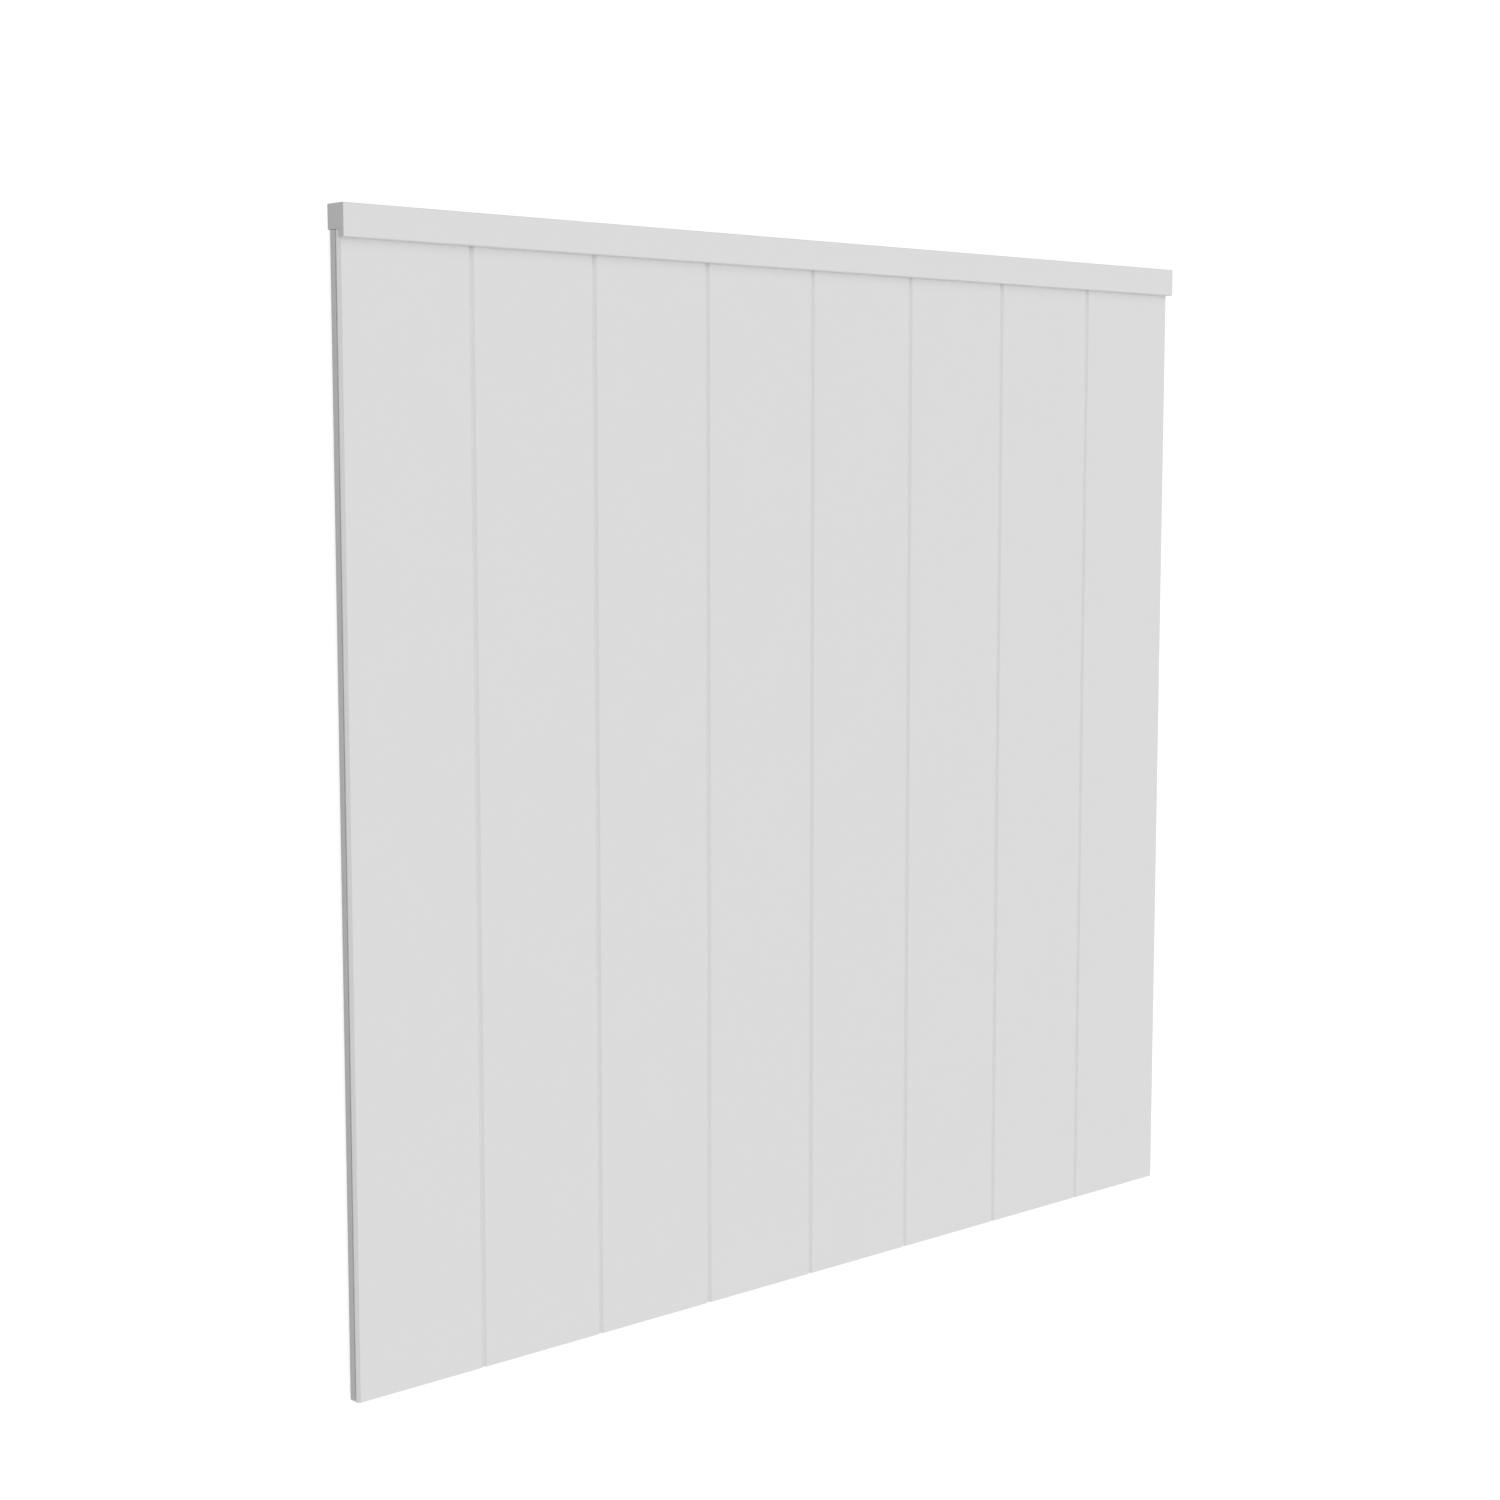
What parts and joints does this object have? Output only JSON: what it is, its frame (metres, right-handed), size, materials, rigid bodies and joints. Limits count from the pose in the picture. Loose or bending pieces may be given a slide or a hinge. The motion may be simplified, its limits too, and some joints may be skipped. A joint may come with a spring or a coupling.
{
  "type": "mdf wall panel",
  "caption": "White primed MDF wall panel: a V-grooved sheet with a tongue groove in each side edge, under a rebated cap rail.",
  "frame": {"origin": "under the middle of the panel, on the plane that the cap rail's back lies on", "axes": "+X across the panel to the viewer's right, +Y from the foot to the cap rail, +Z out of the grooved face, up as it lies on its back"},
  "size_m": [1, 0.95, 0.022],
  "materials": {
    "primed_mdf": "smooth white factory primer, matt"
  },
  "bodies": {
    "root": {"grooved_sheet": "primed_mdf", "cap_rail": "primed_mdf"}
  },
  "joints": []
}
